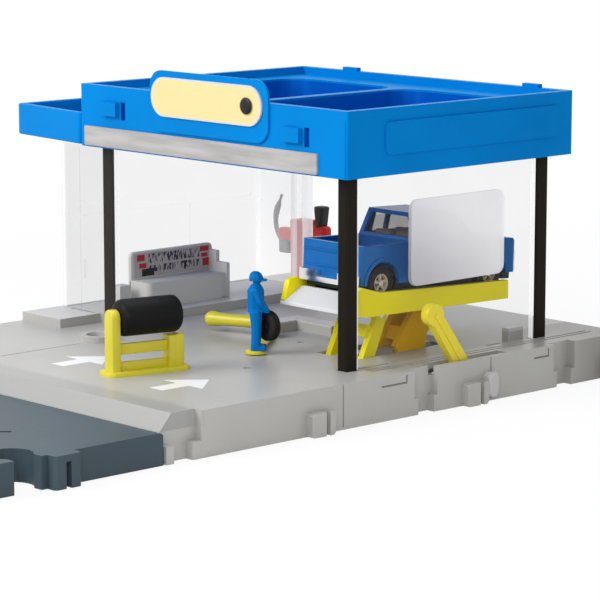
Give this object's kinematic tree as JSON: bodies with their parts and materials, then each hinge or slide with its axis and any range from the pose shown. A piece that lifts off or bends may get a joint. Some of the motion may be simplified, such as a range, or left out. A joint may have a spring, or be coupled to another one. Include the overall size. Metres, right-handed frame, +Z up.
{
  "type": "toy garage playset",
  "caption": "Open toy car garage with a roof on posts, clear walls, a lever-raised car lift with a pickup, a swing-arm mechanic, a roller stand and a drop-on road tile.",
  "frame": {"origin": "centre of the underside of the grey base, on the foot pillar under the middle of the floor", "axes": "+X towards the side with the lift lever, +Y from the road tile towards the back of the garage, +Z up"},
  "size_m": [0.1777, 0.261, 0.1012],
  "materials": {
    "floor_grey": "satin moulded",
    "slate": "satin moulded",
    "roof_blue": "semi gloss moulded",
    "strip_silver": "brushed foil",
    "plaque_print": "printed label",
    "badge_black": "printed label",
    "post_black": "satin",
    "clear": "clear gloss",
    "bench_grey": "satin moulded",
    "board_print": "printed label",
    "pump_red": "gloss",
    "pump_grey": "satin",
    "head_black": "satin",
    "yellow": "semi gloss moulded",
    "roller_black": "matte",
    "figure_blue": "satin",
    "tyre_black": "matte",
    "pin_steel": "turned",
    "deck_white": "satin moulded",
    "peg_clear": "pale gloss",
    "truck_paint": "metallic gloss",
    "truck_black": "satin",
    "truck_glass": "tinted clear",
    "truck_chrome": "bright",
    "hub_tan": "cast look"
  },
  "bodies": {
    "base": {"base_deck": "floor_grey", "roof_shell": "roof_blue", "roof_wing": "roof_blue", "fascia_strip": "strip_silver", "sign_board": "roof_blue", "sign_plaque": "plaque_print", "sign_badge": "badge_black", "post_front_left": "post_black", "post_front_right": "post_black", "post_back_right": "post_black", "pane_right": "clear", "pane_left": "clear", "pane_back": "clear", "pane_door": "clear", "workbench": "bench_grey", "tool_board": "board_print", "pump_column": "pump_red", "pump_hood": "pump_red", "air_arm": "pump_grey", "pump_bracket": "pump_red", "pump_head": "head_black", "roller_stand": "yellow", "swing_screw": "pin_steel", "shaft_caps": "floor_grey", "cap_screws": "pin_steel", "side_peg": "peg_clear"},
    "tile": {"road_tile": "slate"},
    "crank": {"lift_shaft": "pin_steel", "lift_crank": "yellow", "crank_pin": "pin_steel", "lift_lever": "yellow"},
    "link": {"front_link": "yellow", "link_foot_pin": "pin_steel", "link_top_pins": "pin_steel"},
    "platform": {"lift_platform": "yellow", "lift_deck": "deck_white"},
    "truck": {"truck_body": "truck_paint", "truck_glazing": "truck_glass", "truck_interior": "truck_black", "truck_chassis": "truck_black", "truck_bumper": "truck_chrome", "truck_grille": "truck_chrome"},
    "axle_rear": {"truck_axle_rear": "pin_steel", "tyres_rear": "tyre_black", "hubs_rear": "hub_tan"},
    "axle_front": {"truck_axle_front": "pin_steel", "tyres_front": "tyre_black", "hubs_front": "hub_tan"},
    "swing": {"swing_arm": "yellow", "mechanic_figure": "figure_blue", "spare_tyre": "tyre_black"},
    "spool": {"roller": "roller_black", "roller_axle": "pin_steel"}
  },
  "joints": [
    {"name": "tile_lift_off", "type": "slide", "parent": "base", "child": "tile", "axis": [0, 0, 1], "range_m": [0, 0.03]},
    {"name": "lift_crank_turn", "type": "hinge", "parent": "base", "child": "crank", "pos_m": [0.0377, 0.0254, 0.0112], "axis": [1, 0, 0], "range_deg": [-56.5, 0]},
    {"name": "front_link_turn", "type": "hinge", "parent": "base", "child": "link", "pos_m": [0.0341, 0.0045, 0.0112], "axis": [1, 0, 0], "range_deg": [-56.5, 0]},
    {"name": "platform_turn", "type": "hinge", "parent": "crank", "child": "platform", "pos_m": [0.0422, 0.03249, 0.02676], "axis": [1, 0, 0], "range_deg": [0, 56.5]},
    {"name": "truck_lift_out", "type": "slide", "parent": "platform", "child": "truck", "axis": [0, -0.891, 0.454], "range_m": [0, 0.03]},
    {"name": "rear_wheel_spin", "type": "hinge", "parent": "truck", "child": "axle_rear", "pos_m": [0.0422, 0.00671, 0.03775], "axis": [1, 0, 0], "continuous": true},
    {"name": "front_wheel_spin", "type": "hinge", "parent": "truck", "child": "axle_front", "pos_m": [0.0422, 0.05537, 0.03576], "axis": [1, 0, 0], "continuous": true},
    {"name": "swing_turn", "type": "hinge", "parent": "base", "child": "swing", "pos_m": [0.004, 0.005, 0.014], "axis": [0, 0, 1], "range_deg": [-25, 0]},
    {"name": "spool_spin", "type": "hinge", "parent": "base", "child": "spool", "pos_m": [0.0212, -0.0607, 0.0313], "axis": [0.2164, 0.9763, 0], "continuous": true}
  ],
  "couplings": [
    {"joint": "front_link_turn", "follows": "lift_crank_turn", "ratio": 1},
    {"joint": "platform_turn", "follows": "lift_crank_turn", "ratio": -1}
  ]
}
